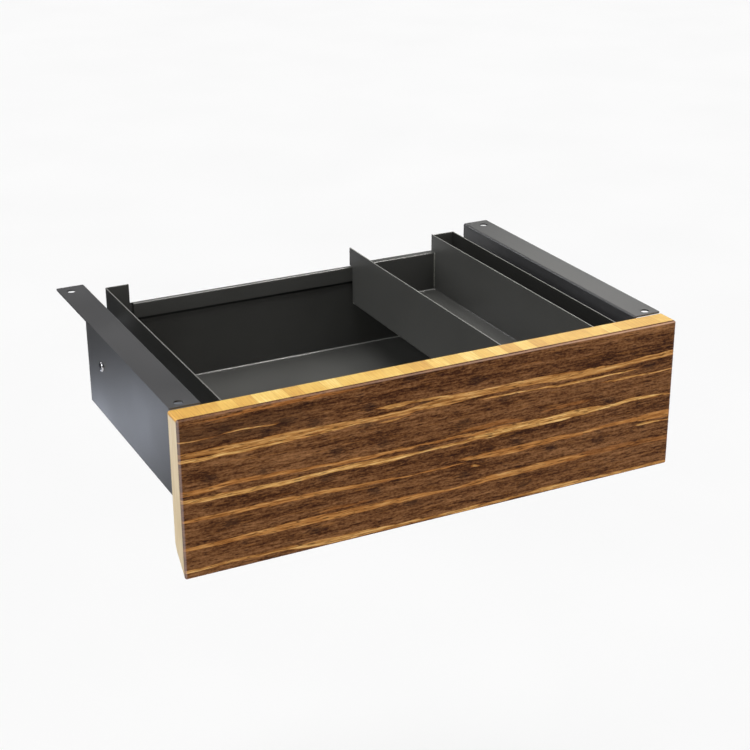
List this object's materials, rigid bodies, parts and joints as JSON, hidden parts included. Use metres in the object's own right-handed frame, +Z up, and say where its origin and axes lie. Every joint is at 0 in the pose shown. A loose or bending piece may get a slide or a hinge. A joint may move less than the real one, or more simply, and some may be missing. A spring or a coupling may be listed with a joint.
{
  "type": "under-desk drawer",
  "caption": "Under-desk drawer: folded steel box with a bamboo front and a sliding pencil tray, on ball-bearing slides hung from two desk brackets.",
  "frame": {"origin": "centre of the four desk screw holes, on the flange tops that meet the underside of the desk", "axes": "+X to the right as the user faces the drawer, +Y to the back, away from the wooden front, +Z up; the drawer opens towards -Y"},
  "size_m": [0.385, 0.2715, 0.1162],
  "materials": {
    "dark_strand_bamboo": "oiled, fine horizontal strands with golden streaks",
    "light_bamboo": "clear-oiled, vertical strips of uneven shade",
    "charcoal_powder_coat": "satin powder coat",
    "zinc_plated_steel": "bright zinc plate",
    "cage_steel": "plain rolled strip",
    "bearing_steel": "polished",
    "black_bumper": "matt",
    "black_plastic": "moulded, matt",
    "bright_screw_steel": "bright plated"
  },
  "bodies": {
    "brackets": {"bracket_left": "charcoal_powder_coat", "bracket_right": "charcoal_powder_coat", "slide_outer_left": "zinc_plated_steel", "slide_outer_right": "zinc_plated_steel", "bracket_screws": "bright_screw_steel", "end_bumpers": "black_bumper"},
    "outer_cages": {"outer_cage_left": "cage_steel", "outer_cage_right": "cage_steel", "outer_balls": "bearing_steel"},
    "middle_members": {"slide_middle_left": "zinc_plated_steel", "slide_middle_right": "zinc_plated_steel"},
    "inner_cages": {"inner_cage_left": "cage_steel", "inner_cage_right": "cage_steel", "inner_balls": "bearing_steel"},
    "drawer": {"slide_inner_left": "zinc_plated_steel", "slide_inner_right": "zinc_plated_steel", "slide_screws": "bright_screw_steel", "lever_rivets": "zinc_plated_steel", "drawer_pan": "charcoal_powder_coat", "drawer_side_left": "charcoal_powder_coat", "drawer_side_right": "charcoal_powder_coat", "front_core": "light_bamboo", "front_face": "dark_strand_bamboo", "front_screws": "bright_screw_steel"},
    "tray": {"pencil_tray": "charcoal_powder_coat"},
    "lever_left": {"release_lever_left": "black_plastic"},
    "lever_right": {"release_lever_right": "black_plastic"}
  },
  "joints": [
    {"name": "drawer_slide", "type": "slide", "parent": "brackets", "child": "drawer", "axis": [0, -1, 0], "range_m": [0, 0.24]},
    {"name": "middle_members_slide", "type": "slide", "parent": "brackets", "child": "middle_members", "axis": [0, -1, 0], "range_m": [0, 0.12]},
    {"name": "outer_cages_slide", "type": "slide", "parent": "brackets", "child": "outer_cages", "axis": [0, -1, 0], "range_m": [0, 0.06]},
    {"name": "inner_cages_slide", "type": "slide", "parent": "brackets", "child": "inner_cages", "axis": [0, -1, 0], "range_m": [0, 0.18]},
    {"name": "tray_slide", "type": "slide", "parent": "drawer", "child": "tray", "axis": [1, 0, 0], "range_m": [-0.1915, 0]},
    {"name": "left_release", "type": "hinge", "parent": "drawer", "child": "lever_left", "pos_m": [-0.1594, -0.035, -0.0546], "axis": [1, 0, 0], "range_deg": [0, 7], "stiffness_Nm_per_rad": 0.05, "springref_deg": -5.16},
    {"name": "right_release", "type": "hinge", "parent": "drawer", "child": "lever_right", "pos_m": [0.1594, -0.035, -0.0546], "axis": [1, 0, 0], "range_deg": [0, 7], "stiffness_Nm_per_rad": 0.05, "springref_deg": -5.16}
  ],
  "couplings": [
    {"joint": "middle_members_slide", "follows": "drawer_slide", "ratio": 0.5},
    {"joint": "outer_cages_slide", "follows": "drawer_slide", "ratio": 0.25},
    {"joint": "inner_cages_slide", "follows": "drawer_slide", "ratio": 0.75}
  ]
}
